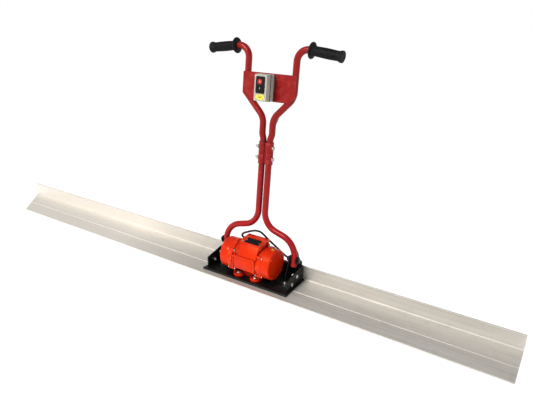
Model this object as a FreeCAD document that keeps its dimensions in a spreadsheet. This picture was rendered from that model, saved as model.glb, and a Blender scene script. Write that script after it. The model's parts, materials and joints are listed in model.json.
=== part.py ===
"""Power screed: an aluminium striking blade with a vibration motor and an upright two-grip handle.

Axes: +X along the blade, -Y towards the blade's front edge, +Y towards the operator, +Z up.
Origin: on the sole of the blade, under the middle of the motor, in the plane of the flange's front face.
The handle is modelled upright about its pivot axis and then leaned back as one by handle_place().
"""
import FreeCAD, Part
import math
import os
import Sketcher
from FreeCAD import Placement, Rotation, Vector

doc = FreeCAD.newDocument("power_screed")

# ---------------------------------------------------------------- driving dimensions (mm, degrees)
DIMENSIONS = [
    ("blade_length", 2500, "striking blade, end to end"),
    ("blade_left", 1510, "blade reach on the -X side of the motor"),
    ("blade_depth", 176, "front edge to flange"),
    ("blade_wall", 4, "thickness of sole and flange"),
    ("mitre", 146, "how far the sole's left end is cut back at its front edge"),
    ("flange_height", 63, "sole to top of flange"),
    ("bead_y", 97, "distance of the stiffening bead from the flange"),
    ("bead_width", 5, "width of the bead"),
    ("bead_height", 2, "height of the bead above the sole plate"),
    ("tray_half", 197, "half length of the tray's floor"),
    ("tray_wall_half", 188, "outer face of the tray's end walls"),
    ("tray_front", 151, "front edge of the tray"),
    ("tray_steel", 4, "tray and bracket sheet"),
    ("tray_end_front", 132, "front edge of the end walls"),
    ("tray_end_low", 52, "height of an end wall at its front"),
    ("tray_end_high", 71, "height of an end wall at the flange"),
    ("motor_y", 85, "motor axis in front of the flange"),
    ("motor_z", 84, "motor axis above the sole"),
    ("body_radius", 59, "motor housing barrel"),
    ("body_half", 62, "half length of the housing barrel"),
    ("cover_radius", 62.5, "end covers"),
    ("motor_half", 114, "motor axis length from the middle to a cover's face"),
    ("shield_width", 9, "thickness of an end shield"),
    ("cover_wall", 3.5, "wall of an end cover"),
    ("foot_x", 39, "foot bolts from the middle"),
    ("foot_y", 33, "foot bolts from the motor axis"),
    ("foot_thick", 12, "thickness of a foot"),
    ("foot_radius", 20, "round end of a foot"),
    ("shaft_radius", 11, "rotor shaft"),
    ("bearing_radius", 26, "bearing, outside"),
    ("bearing_width", 15, "bearing, along the shaft"),
    ("run_gap", 0.05, "radial running clearance"),
    ("box_middle", 15.5, "terminal box, X of its middle"),
    ("box_length", 91, "terminal box along X"),
    ("box_depth", 72, "terminal box along Y"),
    ("box_floor", 144, "underside of the terminal box above the sole"),
    ("box_top", 158, "top of the terminal box walls"),
    ("lid_front", 3, "terminal box lid at its front edge"),
    ("lid_rise", 8, "rise of the lid's sloping front"),
    ("tube_radius", 12.5, "handle tube, outside"),
    ("tube_wall", 2, "handle tube wall"),
    ("leg_x", 163, "leg of the handle from the middle"),
    ("stem_x", 15.5, "stem tube from the middle"),
    ("pivot_y", 32, "handle pivot in front of the flange"),
    ("pivot_z", 98, "handle pivot above the sole"),
    ("lean", 7.3, "the handle's lean towards the operator, degrees"),
    ("leg_below", 26, "leg below the pivot"),
    ("shoulder_low", 67, "leg's bend corner above the pivot"),
    ("shoulder_high", 107.5, "stem's bend corner above the pivot"),
    ("coupler_low", 353, "lower end of the coupler above the pivot"),
    ("coupler_length", 82, "length of the coupler"),
    ("coupler_wall", 3, "wall of the coupler's two sockets"),
    ("neck_x", 21.5, "upper tube above the coupler"),
    ("panel_x", 102, "upper tube beside the switch panel"),
    ("fork_low", 526, "lower corner of the fork"),
    ("fork_high", 607, "upper corner of the fork"),
    ("bar_top", 783, "corner where the bar turns out to the grip"),
    ("grip_end", 277, "outer end of a grip from the middle"),
    ("grip_drop", 6.8, "droop of the grips, degrees"),
    ("grip_length", 125, "grip, end to end"),
    ("grip_radius", 18, "grip, outside"),
    ("panel_low", 588, "bottom edge of the switch panel above the pivot"),
    ("panel_high", 688, "top edge of the switch panel above the pivot"),
    ("panel_half", 113, "half width of the switch panel"),
    ("panel_sheet", 2.5, "switch panel thickness"),
    ("switch_low", 590, "bottom of the switch box above the pivot"),
    ("switch_height", 94, "switch box, height"),
    ("switch_width", 52, "switch box, width"),
    ("switch_base_depth", 27, "rear shell of the switch box"),
    ("switch_cover_depth", 26, "front shell of the switch box"),
    ("switch_wall", 3, "wall of the switch box"),
    ("lead_radius", 4, "motor lead, outside"),
]
sheet = doc.addObject("Spreadsheet::Sheet", "Dims")
for row, (alias, number, note) in enumerate(DIMENSIONS, start=1):
    sheet.set("A%d" % row, note)
    sheet.set("B%d" % row, str(number))
    sheet.setAlias("B%d" % row, alias)
doc.recompute()


class Size:
    """A length that knows its number and the sheet formula that it comes from."""

    def __init__(self, number, formula):
        self.number = number
        self.formula = formula

    def __add__(self, other):
        other = as_size(other)
        return Size(self.number + other.number, "(%s + %s)" % (self.formula, other.formula))

    def __sub__(self, other):
        other = as_size(other)
        return Size(self.number - other.number, "(%s - %s)" % (self.formula, other.formula))

    def __mul__(self, factor):
        return Size(self.number * factor, "(%s * %s)" % (self.formula, repr(float(factor))))

    def __truediv__(self, factor):
        return self * (1.0 / factor)

    def __neg__(self):
        return self * -1

    def __radd__(self, other):
        return as_size(other) + self

    def __rsub__(self, other):
        return as_size(other) - self

    __rmul__ = __mul__


def as_size(thing):
    """Numbers become sizes; sizes pass through."""
    return thing if isinstance(thing, Size) else Size(float(thing), "(%r)" % float(thing))


class Dims:
    """The sheet's cells as sizes: dims.blade_length and so on."""

    def __getattr__(self, alias):
        return Size(float(sheet.get(alias)), "Dims." + alias)


dims = Dims()
parts = []


def number(size):
    return as_size(size).number


def bind(thing, prop, size):
    """Set a property from a size and keep it bound to the sheet."""
    thing.setExpression(prop, as_size(size).formula)


def keep(name, thing, placement=None):
    """Register a finished sub-part under its node name."""
    thing.Label = name
    if placement is not None:
        thing.Placement = placement
    parts.append(thing)
    return thing


# ---------------------------------------------------------------- primitives bound to the sheet
def put(thing, x, y, z):
    for axis, size in zip("xyz", (x, y, z)):
        bind(thing, "Placement.Base." + axis, size)
    return thing


def block(name, low, size):
    """A box from its low corner and its size."""
    box = doc.addObject("Part::Box", name)
    for prop, length in zip(("Length", "Width", "Height"), size):
        bind(box, prop, length)
    return put(box, *low)


TURNS = {
    "+X": Rotation(Vector(0, 1, 0), 90), "-X": Rotation(Vector(0, 1, 0), -90),
    "+Y": Rotation(Vector(1, 0, 0), -90), "-Y": Rotation(Vector(1, 0, 0), 90),
    "+Z": Rotation(), "-Z": Rotation(Vector(1, 0, 0), 180),
}


def rod(name, start, way, radius, length):
    """A cylinder that starts at a point and runs along an axis."""
    cylinder = doc.addObject("Part::Cylinder", name)
    bind(cylinder, "Radius", radius)
    bind(cylinder, "Height", length)
    cylinder.Placement = Placement(Vector(), TURNS[way])
    return put(cylinder, *start)


def taper(name, start, way, radius_low, radius_high, length):
    """A cone frustum that starts at a point and runs along an axis."""
    cone = doc.addObject("Part::Cone", name)
    bind(cone, "Radius1", radius_low)
    bind(cone, "Radius2", radius_high)
    bind(cone, "Height", length)
    cone.Placement = Placement(Vector(), TURNS[way])
    return put(cone, *start)


def hexagon(name, start, way, across, length):
    """A hexagonal prism, given across its flats."""
    prism = doc.addObject("Part::Prism", name)
    prism.Polygon = 6
    bind(prism, "Circumradius", as_size(across) / math.sqrt(3))
    bind(prism, "Height", length)
    prism.Placement = Placement(Vector(), TURNS[way])
    return put(prism, *start)


def fuse(name, pieces):
    union = doc.addObject("Part::MultiFuse", name)
    union.Shapes = pieces
    union.Refine = True
    return union


def cut(name, base, tools):
    """The base less every tool."""
    result = doc.addObject("Part::Cut", name)
    result.Base = base
    result.Tool = tools[0] if len(tools) == 1 else fuse(name + "_tools", tools)
    result.Refine = True
    return result


def group(name, pieces):
    """Separate solids that share one node."""
    compound = doc.addObject("Part::Compound", name)
    compound.Links = pieces
    return compound


def step(place, way, distance):
    """The point at a distance along an axis from a place."""
    sign = 1 if way[0] == "+" else -1
    moved = list(place)
    index = "XYZ".index(way[1])
    moved[index] = as_size(moved[index]) + as_size(distance) * sign
    return tuple(moved)


def opposite(way):
    return ("-" if way[0] == "+" else "+") + way[1]


def bolt(name, seat, way, radius, reach, head=True):
    """A hexagon bolt: the head stands out along way, the shank runs back into the work."""
    shank = rod(name + "_shank", step(seat, opposite(way), reach), way, radius, reach)
    if not head:
        return shank
    top = hexagon(name + "_head", seat, way, as_size(radius) * 3.3, as_size(radius) * 1.3)
    return fuse(name, [shank, top])


def nut(name, seat, way, radius):
    """A hexagon nut on a bolt, standing out along way."""
    outside = hexagon(name + "_hex", seat, way, as_size(radius) * 3.3, as_size(radius) * 1.6)
    return cut(name, outside, [rod(name + "_bore", seat, way, radius, as_size(radius) * 1.6)])


# ---------------------------------------------------------------- sketches bound to the sheet
PLANES = {"XY": "XY_Plane", "XZ": "XZ_Plane", "YZ": "YZ_Plane"}


def new_body(name):
    return doc.addObject("PartDesign::Body", name + "_body")


def sketch_on(body, plane, name, offset=0):
    """A sketch on one of the body's own origin planes, moved along the plane's normal."""
    sketch = body.newObject("Sketcher::SketchObject", name)
    support = [f for f in body.Origin.OriginFeatures if f.Role == PLANES[plane]][0]
    sketch.AttachmentSupport = (support, [""])
    sketch.MapMode = "FlatFace"
    bind(sketch, "AttachmentOffset.Base.z", offset)
    return sketch


ORIGIN = (-1, 1)


def pin_point(sketch, geometry, end, place):
    """Hold one point of the sketch at a place that the sheet gives."""
    for kind, size in zip(("DistanceX", "DistanceY"), place):
        constraint = Sketcher.Constraint(kind, ORIGIN[0], ORIGIN[1], geometry, end, number(size))
        index = sketch.addConstraint(constraint)
        bind(sketch, "Constraints[%d]" % index, size)


def circle(sketch, place, radius):
    centre = Vector(number(place[0]), number(place[1]), 0)
    index = sketch.addGeometry(Part.Circle(centre, Vector(0, 0, 1), number(radius)))
    pin_point(sketch, index, 3, place)
    held = sketch.addConstraint(Sketcher.Constraint("Radius", index, number(radius)))
    bind(sketch, "Constraints[%d]" % held, radius)


def outline(sketch, corners, closed=True):
    """Straight runs between corners (a, b, radius); a radius above 0 rounds its corner with a tangent arc."""
    places = [Vector(number(c[0]), number(c[1]), 0) for c in corners]
    count = len(places)
    spans = count if closed else count - 1

    def setback(index):
        """Distance from a rounded corner to where its arc meets the runs."""
        radius = number(corners[index][2])
        back = (places[index - 1] - places[index]).normalize()
        ahead = (places[(index + 1) % count] - places[index]).normalize()
        return radius / math.tan(back.getAngle(ahead) / 2), back, ahead

    def rounded(index):
        return number(corners[index][2]) > 0 and (closed or 0 < index < count - 1)

    lines = []
    for index in range(spans):
        after = (index + 1) % count
        start = places[index]
        stop = places[after]
        if rounded(index):
            reach, _, ahead = setback(index)
            start = start + ahead * reach
        if rounded(after):
            reach, back, _ = setback(after)
            stop = stop + back * reach
        lines.append(sketch.addGeometry(Part.LineSegment(start, stop)))
    for index in range(count):
        if not closed and index in (0, count - 1):
            pin_point(sketch, lines[0 if index == 0 else -1], 1 if index == 0 else 2, corners[index])
            continue
        before = lines[index - 1]
        after = lines[index % spans]
        if not rounded(index):
            sketch.addConstraint(Sketcher.Constraint("Coincident", before, 2, after, 1))
            pin_point(sketch, after, 1, corners[index])
            continue
        reach, back, ahead = setback(index)
        radius = number(corners[index][2])
        middle = (back + ahead).normalize()
        centre = places[index] + middle * math.hypot(radius, reach)
        ends = (places[index] + back * reach, centre - middle * radius, places[index] + ahead * reach)
        arc = sketch.addGeometry(Part.Arc(*ends))
        left_turn = back.cross(ahead).z < 0
        first, last = (1, 2) if left_turn else (2, 1)
        sketch.addConstraint(Sketcher.Constraint("Tangent", before, 2, arc, first))
        sketch.addConstraint(Sketcher.Constraint("Tangent", arc, last, after, 1))
        held = sketch.addConstraint(Sketcher.Constraint("Radius", arc, radius))
        bind(sketch, "Constraints[%d]" % held, corners[index][2])
        corner = sketch.addGeometry(Part.Point(places[index]), True)
        pin_point(sketch, corner, 1, corners[index])
        sketch.addConstraint(Sketcher.Constraint("PointOnObject", corner, 1, before))
        sketch.addConstraint(Sketcher.Constraint("PointOnObject", corner, 1, after))


def rectangle(sketch, low, high, radius=0):
    outline(sketch, [(low[0], low[1], radius), (high[0], low[1], radius),
                     (high[0], high[1], radius), (low[0], high[1], radius)])


def pad(body, sketch, length, back=False):
    """Extrude a sketch along its normal, or against it."""
    feature = body.newObject("PartDesign::Pad", sketch.Name + "_pad")
    feature.Profile = sketch
    bind(feature, "Length", length)
    feature.Reversed = back
    body.Tip = feature
    return feature


def pocket(body, sketch, length, back=False):
    """Cut a sketch out of the body, against its normal, or along it."""
    feature = body.newObject("PartDesign::Pocket", sketch.Name + "_pocket")
    feature.Profile = sketch
    bind(feature, "Length", length)
    feature.Reversed = back
    body.Tip = feature
    return feature


def revolve(body, sketch, axis):
    """Turn a sketch once round the sketch's own H_Axis or V_Axis."""
    feature = body.newObject("PartDesign::Revolution", sketch.Name + "_turned")
    feature.Profile = sketch
    feature.ReferenceAxis = (sketch, [axis])
    feature.Angle = 360
    body.Tip = feature
    return feature


def pipe(body, profile, spine):
    feature = body.newObject("PartDesign::AdditivePipe", profile.Name + "_pipe")
    feature.Profile = profile
    feature.Spine = (spine, [])
    body.Tip = feature
    return feature


# ---------------------------------------------------------------- places that several pieces share
SIDES = (("left", -1), ("right", 1))
M8 = 4
M8_HOLE = 4.2
M10 = 5
M10_HOLE = 5.2
TRAY_BOLTS = [(x, y) for x in (-152, 152) for y in (-80, -38)]
FLANGE_BOLTS = [(x, 38) for x in (-90, 0, 90)]
BRACKET_BOLTS = ((-98, 30), (-60, 46))
BRACKET_OUTER = dims.tray_wall_half - dims.tray_steel
BRACKET_LOW = 12
BUSH_DISC = 4
BUSH_GAP = 0.3
TALL_CHEEK = dims.leg_x - dims.tube_radius - BUSH_DISC - BUSH_GAP
BEARING_SET = 9
COVER_SCREW_RING = dims.cover_radius.number - 9
GASKET = 1.5
LID_SLOPE = 44
PLATE = (63, 31, 1.2)
COVER_PLUG_X = as_size(99)
GLAND_Y = as_size(-65)
GLAND_Z = as_size(151)
GLAND_STEM = 5.6
PLUG_STEM = 5
COUPLER_BOLT_HEIGHTS = (dims.coupler_low + 20, dims.coupler_low + 62)
SUPPLY_HEIGHT = dims.switch_low + 76
SUPPLY_STEM = 8
SUPPLY_HOLE = 8.2
LEAD_HEIGHT = dims.switch_low + 14
TRAY_FLOOR_TOP = dims.blade_wall + 5
TRAY_FLOOR_BACK = 6
REAR_GAP = 2


def motor_place():
    """Motor pieces are turned about the sheet's X axis and lifted to the motor axis."""
    return Placement(Vector(0, -dims.motor_y.number, dims.motor_z.number), Rotation())


def handle_place():
    """The handle stands on its pivot axis and leans back towards the operator."""
    return Placement(Vector(0, -dims.pivot_y.number, dims.pivot_z.number),
                     Rotation(Vector(1, 0, 0), -dims.lean.number))


# ---------------------------------------------------------------- blade and tray
def blade():
    """Extruded angle: flat sole with a stiffening bead and an upright flange with a rolled top."""
    body = new_body("blade")
    profile = sketch_on(body, "YZ", "blade_section", -dims.blade_left)
    wall = dims.blade_wall
    bead_top = wall + dims.bead_height
    bead_back = -dims.bead_y + dims.bead_width / 2
    bead_front = -dims.bead_y - dims.bead_width / 2
    bead_lean = 0.4
    roll = 1.5
    roll_low = dims.flange_height - 5
    roll_end = dims.flange_height - 8
    outline(profile, [
        (-dims.blade_depth, 0, 0.8), (wall, 0, 2.5), (wall, dims.flange_height, 1.5),
        (-roll, dims.flange_height, 1.2), (-roll, roll_low, 1.2), (0, roll_end, 2), (0, wall, 5),
        (bead_back, wall, 0.6), (bead_back - bead_lean, bead_top, 0.8),
        (bead_front + bead_lean, bead_top, 0.8), (bead_front, wall, 0.6), (-dims.blade_depth, wall, 2.5)])
    pad(body, profile, dims.blade_length)
    holes = sketch_on(body, "XY", "blade_sole_holes")
    for x, y in TRAY_BOLTS:
        circle(holes, (x, y), M8_HOLE)
    pocket(body, holes, wall + 2, back=True)
    flange_holes = sketch_on(body, "XZ", "blade_flange_holes", -(wall + 1))
    for place in FLANGE_BOLTS:
        circle(flange_holes, place, M8_HOLE)
    pocket(body, flange_holes, wall + 4, back=True)
    past = 4
    mitre = sketch_on(body, "XY", "blade_mitre")
    slope = dims.mitre / number(dims.blade_depth)
    outline(mitre, [(-dims.blade_left - past, 0, 0), (-dims.blade_left, 0, 0),
                    (-dims.blade_left + dims.mitre + slope * past, -dims.blade_depth - past, 0),
                    (-dims.blade_left - past, -dims.blade_depth - past, 0)])
    pocket(body, mitre, wall + 2, back=True)
    sinks = [taper("sole_sink_%d" % i, (x, y, as_size(0) - 0.01), "+Z", 8.7, M8_HOLE, 3.8)
             for i, (x, y) in enumerate(TRAY_BOLTS)]
    keep("blade", cut("blade_cut", body, sinks))


def base_tray():
    """Folded steel tray: floor over the bead, rear wall against the flange, two end walls."""
    body = new_body("base_tray")
    steel = dims.tray_steel
    floor_low = dims.blade_wall
    section = sketch_on(body, "YZ", "tray_section", -dims.tray_half)
    groove = dims.bead_width / 2 + 1.5
    groove_top = floor_low + dims.bead_height + 0.5
    outline(section, [
        (-dims.tray_front, floor_low, 0), (-dims.bead_y - groove, floor_low, 0),
        (-dims.bead_y - groove, groove_top, 0), (-dims.bead_y + groove, groove_top, 0),
        (-dims.bead_y + groove, floor_low, 0), (-TRAY_FLOOR_BACK, floor_low, 0),
        (-TRAY_FLOOR_BACK, TRAY_FLOOR_TOP, 0), (-dims.tray_front, TRAY_FLOOR_TOP, 1.5)])
    pad(body, section, dims.tray_half * 2)
    back = sketch_on(body, "XZ", "tray_back", REAR_GAP)
    back_low = TRAY_FLOOR_TOP + 2
    back_high = dims.flange_height - 9
    outline(back, [(-dims.tray_wall_half, back_low, 0), (dims.tray_wall_half, back_low, 0),
                   (dims.tray_wall_half, back_high, 4), (-dims.tray_wall_half, back_high, 4)])
    pad(body, back, steel)
    knee = sketch_on(body, "YZ", "tray_knee", -dims.tray_wall_half)
    bend = 3
    outline(knee, [(-TRAY_FLOOR_BACK - 2, TRAY_FLOOR_TOP - bend, 0), (-TRAY_FLOOR_BACK, TRAY_FLOOR_TOP - bend, 0),
                   (-REAR_GAP, TRAY_FLOOR_TOP, 0), (-REAR_GAP, TRAY_FLOOR_TOP + bend, 0),
                   (-TRAY_FLOOR_BACK, TRAY_FLOOR_TOP + bend, 0), (-TRAY_FLOOR_BACK - 2, TRAY_FLOOR_TOP, 0)])
    pad(body, knee, dims.tray_wall_half * 2)
    for side, sign in SIDES:
        inner = dims.tray_wall_half - steel
        wall = sketch_on(body, "YZ", "tray_end_" + side, inner if sign > 0 else -dims.tray_wall_half)
        outline(wall, [(-dims.tray_end_front, TRAY_FLOOR_TOP - 1, 0), (-REAR_GAP, TRAY_FLOOR_TOP - 1, 0),
                       (-REAR_GAP, dims.tray_end_high, 6), (-dims.tray_end_front, dims.tray_end_low, 6)])
        pad(body, wall, steel)
    lip = sketch_on(body, "YZ", "tray_lip", -dims.tray_half)
    rectangle(lip, (-dims.tray_front, TRAY_FLOOR_TOP - 2), (-dims.tray_front + steel, TRAY_FLOOR_TOP + 4), 1)
    pad(body, lip, dims.tray_half * 2)
    through = 20
    tools = [rod("tray_hole_%d" % i, (x, y, 0), "+Z", M8_HOLE, through) for i, (x, y) in enumerate(TRAY_BOLTS)]
    tools += [rod("tray_flange_hole_%d" % i, (x, -through, z), "+Y", M8_HOLE, through)
              for i, (x, z) in enumerate(FLANGE_BOLTS)]
    tools += [rod("tray_foot_hole_%d" % i, place, "+Z", M10_HOLE, through)
              for i, place in enumerate(foot_places(0))]
    for side, sign in SIDES:
        for index, (y, z) in enumerate(BRACKET_BOLTS):
            start = (dims.tray_wall_half * sign - through / 2, y, z)
            tools.append(rod("tray_%s_hole_%d" % (side, index), start, "+X", M8_HOLE, through))
    keep("base_tray", cut("tray_cut", body, tools))


def tray_bolts():
    """Countersunk bolts from under the sole, with hexagon nuts on the tray's floor."""
    pieces = []
    for index, (x, y) in enumerate(TRAY_BOLTS):
        name = "tray_bolt_%d" % index
        head = taper(name + "_sunk", (x, y, 0.3), "+Z", M8 * 2, M8, 3)
        shank = rod(name + "_shank", (x, y, 3), "+Z", M8, 16)
        pieces.append(fuse(name, [head, shank]))
        pieces.append(nut(name + "_nut", (x, y, TRAY_FLOOR_TOP), "+Z", M8))
    keep("tray_bolts", group("tray_bolt_set", pieces))


def flange_bolts():
    """Bolts through the flange and the tray's rear wall, heads on the operator's side."""
    pieces = []
    for index, (x, z) in enumerate(FLANGE_BOLTS):
        name = "flange_bolt_%d" % index
        pieces.append(bolt(name, (x, dims.blade_wall, z), "+Y", M8, 18))
        pieces.append(nut(name + "_nut", (x, -REAR_GAP - dims.tray_steel, z), "-Y", M8))
        pieces.append(spacer(name + "_shim", (x, -REAR_GAP, z)))
    keep("flange_bolts", group("flange_bolt_set", pieces))


def spacer(name, start):
    """A washer that fills the gap between the flange and the tray's rear wall."""
    disc = rod(name + "_disc", start, "+Y", 9, REAR_GAP)
    return cut(name, disc, [rod(name + "_bore", start, "+Y", M8, REAR_GAP)])


def hinge_bracket(side, sign):
    """Folded bracket: an ear behind the leg, a low outer cheek bolted to the tray's wall, a tall inner cheek."""
    body = new_body("hinge_bracket_" + side)
    steel = dims.tray_steel
    outer = BRACKET_OUTER
    ear_back = REAR_GAP + steel
    ear_high = 87
    ear = sketch_on(body, "XZ", "ear_" + side, ear_back)
    inner_x = (outer - 84) * sign
    outline(ear, [(inner_x, BRACKET_LOW, 0), (outer * sign, BRACKET_LOW, 0), (outer * sign, ear_high, 4),
                  ((outer - 44) * sign, ear_high, 8), ((outer - 70) * sign, dims.flange_height - 3, 4),
                  (inner_x, dims.flange_height - 8, 4)])
    pad(body, ear, steel)
    low_cheek = sketch_on(body, "YZ", "low_cheek_" + side, outer - steel if sign > 0 else -outer)
    cheek_front = 112
    outline(low_cheek, [(-ear_back, BRACKET_LOW, 0), (-ear_back, 60, 0), (-cheek_front, 42, 6),
                        (-cheek_front, BRACKET_LOW, 3)])
    pad(body, low_cheek, steel)
    tall_cheek = sketch_on(body, "YZ", "tall_cheek_" + side,
                           TALL_CHEEK - steel if sign > 0 else -TALL_CHEEK)
    tall_low = BRACKET_LOW + 6
    tall_front = 66
    boss = 11
    boss_back = -dims.pivot_y + boss - 1
    boss_front = -dims.pivot_y - boss
    boss_top = dims.pivot_z + 15
    outline(tall_cheek, [(-ear_back, tall_low, 0), (-ear_back, 70, 0), (boss_back, 80, 3),
                         (boss_back, boss_top, 9), (boss_front, boss_top, 9), (boss_front - 4, 78, 8),
                         (-tall_front, 38, 8), (-tall_front, tall_low, 3)])
    pad(body, tall_cheek, steel)
    outside = (outer + 5) * sign
    through = 20
    inward = "-X" if sign > 0 else "+X"
    pivot_start = ((TALL_CHEEK + 5) * sign, -dims.pivot_y, dims.pivot_z)
    tools = [rod("bracket_pivot_" + side, pivot_start, inward, M10_HOLE, through)]
    for index, (y, z) in enumerate(BRACKET_BOLTS):
        tools.append(rod("bracket_hole_%s_%d" % (side, index), (outside, y, z), inward, M8_HOLE, through))
    keep("hinge_bracket_" + side, cut("bracket_cut_" + side, body, tools))


def bracket_bolts():
    """Zinc bolts through each end wall into its hinge bracket, heads outside."""
    pieces = []
    for side, sign in SIDES:
        outward = "+X" if sign > 0 else "-X"
        for index, (y, z) in enumerate(BRACKET_BOLTS):
            name = "bracket_bolt_%s_%d" % (side, index)
            pieces.append(bolt(name, (dims.tray_wall_half * sign, y, z), outward, M8, 17))
            seat = ((BRACKET_OUTER - dims.tray_steel) * sign, y, z)
            pieces.append(nut(name + "_nut", seat, opposite(outward), M8))
    keep("bracket_bolts", group("bracket_bolt_set", pieces))


def pivot_bolts():
    """The handle's pivot bolts: heads outside the legs' rubber bushes, lock nuts inside the tall cheeks."""
    pieces = []
    seat_x = dims.leg_x + dims.tube_radius + BUSH_DISC + BUSH_GAP * 2
    inner_x = TALL_CHEEK - dims.tray_steel
    for side, sign in SIDES:
        outward = "+X" if sign > 0 else "-X"
        seat = (seat_x * sign, -dims.pivot_y, dims.pivot_z)
        pieces.append(bolt("pivot_bolt_" + side, seat, outward, M10, seat_x - inner_x + 10))
        inner = (inner_x * sign, -dims.pivot_y, dims.pivot_z)
        pieces.append(nut("pivot_nut_" + side, inner, opposite(outward), M10))
    keep("pivot_bolts", group("pivot_bolt_set", pieces))


# ---------------------------------------------------------------- motor
def foot_places(z):
    """The four foot bolts, on the tray."""
    return [(dims.foot_x * sx, -dims.motor_y + dims.foot_y * sy, z) for sx in (-1, 1) for sy in (-1, 1)]


def motor_housing():
    """Cast barrel with end flanges, a ribbed front boss, four webbed feet and a neck for the terminal box."""
    axis_y = -dims.motor_y
    axis_z = dims.motor_z
    low_x = -dims.body_half
    length = dims.body_half * 2
    pieces = [rod("barrel", (low_x, axis_y, axis_z), "+X", dims.body_radius, length)]
    flange_width = 8
    for side, start in (("left", low_x), ("right", dims.body_half - flange_width)):
        pieces.append(rod("barrel_flange_" + side, (start, axis_y, axis_z), "+X", dims.cover_radius, flange_width))
    pad_radius = dims.foot_radius
    web_depth = 26
    rib_size = (8, 26, 44)
    for index, (x, y, z) in enumerate(foot_places(TRAY_FLOOR_TOP)):
        front = index % 2 == 0
        left = index < 2
        pieces.append(rod("foot_pad_%d" % index, (x, y, z), "+Z", pad_radius, dims.foot_thick))
        web_start = (x - pad_radius, y if front else y - web_depth, z)
        pieces.append(block("foot_web_%d" % index, web_start, (pad_radius * 2, web_depth, dims.foot_thick)))
        rib_start = (x - 22 if left else x + 14, y - 6 if front else y - 20, z)
        pieces.append(block("foot_rib_%d" % index, rib_start, rib_size))
    saddle_inset = 14
    saddle_half = 26
    pieces.append(block("saddle", (low_x + saddle_inset, axis_y - saddle_half, TRAY_FLOOR_TOP + 3),
                        (length - saddle_inset * 2, saddle_half * 2, 26)))
    boss_half = 42
    boss_low = axis_z - 18
    boss_height = 44
    pieces.append(block("front_boss", (-boss_half, axis_y - 62, boss_low), (boss_half * 2, 20, boss_height)))
    for index in range(5):
        rib_z = boss_low + boss_height / 4 * index - 1.5
        pieces.append(block("front_rib_%d" % index, (-boss_half, axis_y - 63.5, rib_z), (boss_half * 2, 10, 3)))
    neck_half = dims.box_length / 2 - 3
    neck_low = axis_z + 20
    neck = (dims.box_middle - neck_half, axis_y - dims.box_depth / 2 + 2, neck_low)
    pieces.append(block("box_neck", neck, (neck_half * 2, dims.box_depth - 4, dims.box_floor - neck_low)))
    past = 2
    tools = [rod("barrel_bore", (low_x - past, axis_y, axis_z), "+X", dims.body_radius - 6, length + past * 2),
             block("box_seat", (low_x - past, axis_y - 50, dims.box_floor), (length + past * 2, 100, 20)),
             rod("wire_way", (dims.box_middle, axis_y, axis_z), "+Z", 10, 120)]
    for index, (x, y, _) in enumerate(foot_places(0)):
        tools.append(rod("foot_hole_%d" % index, (x, y, 0), "+Z", M10_HOLE, 60))
        tools.append(rod("foot_spot_%d" % index, (x, y, TRAY_FLOOR_TOP + dims.foot_thick), "+Z", 12, 12))
    keep("motor_housing", cut("housing_cut", fuse("housing_mass", pieces), tools))


def motor_bolts():
    """Hexagon bolts with washers through the feet, threaded into the tray's floor."""
    bolts = []
    washers = []
    washer = 2
    for index, (x, y, _) in enumerate(foot_places(0)):
        seat = (x, y, TRAY_FLOOR_TOP + dims.foot_thick)
        disc = rod("foot_washer_disc_%d" % index, seat, "+Z", 10.5, washer)
        bore = rod("foot_washer_bore_%d" % index, seat, "+Z", 5.1, washer)
        washers.append(cut("foot_washer_%d" % index, disc, [bore]))
        bolts.append(bolt("foot_bolt_%d" % index, step(seat, "+Z", washer), "+Z", M10, 18.5))
    keep("motor_bolts", group("motor_bolt_set", bolts))
    keep("motor_washers", group("motor_washer_set", washers))


def end_shield(side, sign):
    """Bearing bracket between the barrel and an end cover."""
    outward = "+X" if sign > 0 else "-X"
    face = (dims.body_half * sign, -dims.motor_y, dims.motor_z)
    hub_depth = BEARING_SET - 1
    bearing_start = step(face, opposite(outward), BEARING_SET)
    disc = rod("shield_disc_" + side, face, outward, dims.cover_radius, dims.shield_width)
    hub = rod("shield_hub_" + side, step(face, opposite(outward), hub_depth), outward,
              dims.bearing_radius + 6, dims.shield_width + hub_depth)
    tools = [rod("shield_pocket_" + side, bearing_start, outward, dims.bearing_radius, dims.bearing_width + 3),
             rod("shield_bore_" + side, bearing_start, outward, dims.shaft_radius + 2, 40)]
    keep("end_shield_" + side, cut("shield_cut_" + side, fuse("shield_mass_" + side, [disc, hub]), tools))


def bearing(side, sign):
    """Sealed bearing, a plain ring here, in its shield's pocket."""
    outward = "+X" if sign > 0 else "-X"
    start = step((dims.body_half * sign, -dims.motor_y, dims.motor_z), opposite(outward), BEARING_SET)
    ring = rod("bearing_ring_" + side, start, outward, dims.bearing_radius, dims.bearing_width)
    bore = rod("bearing_bore_" + side, start, outward, dims.shaft_radius + dims.run_gap, dims.bearing_width)
    keep("bearing_" + side, cut("bearing_cut_" + side, ring, [bore]))


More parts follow.
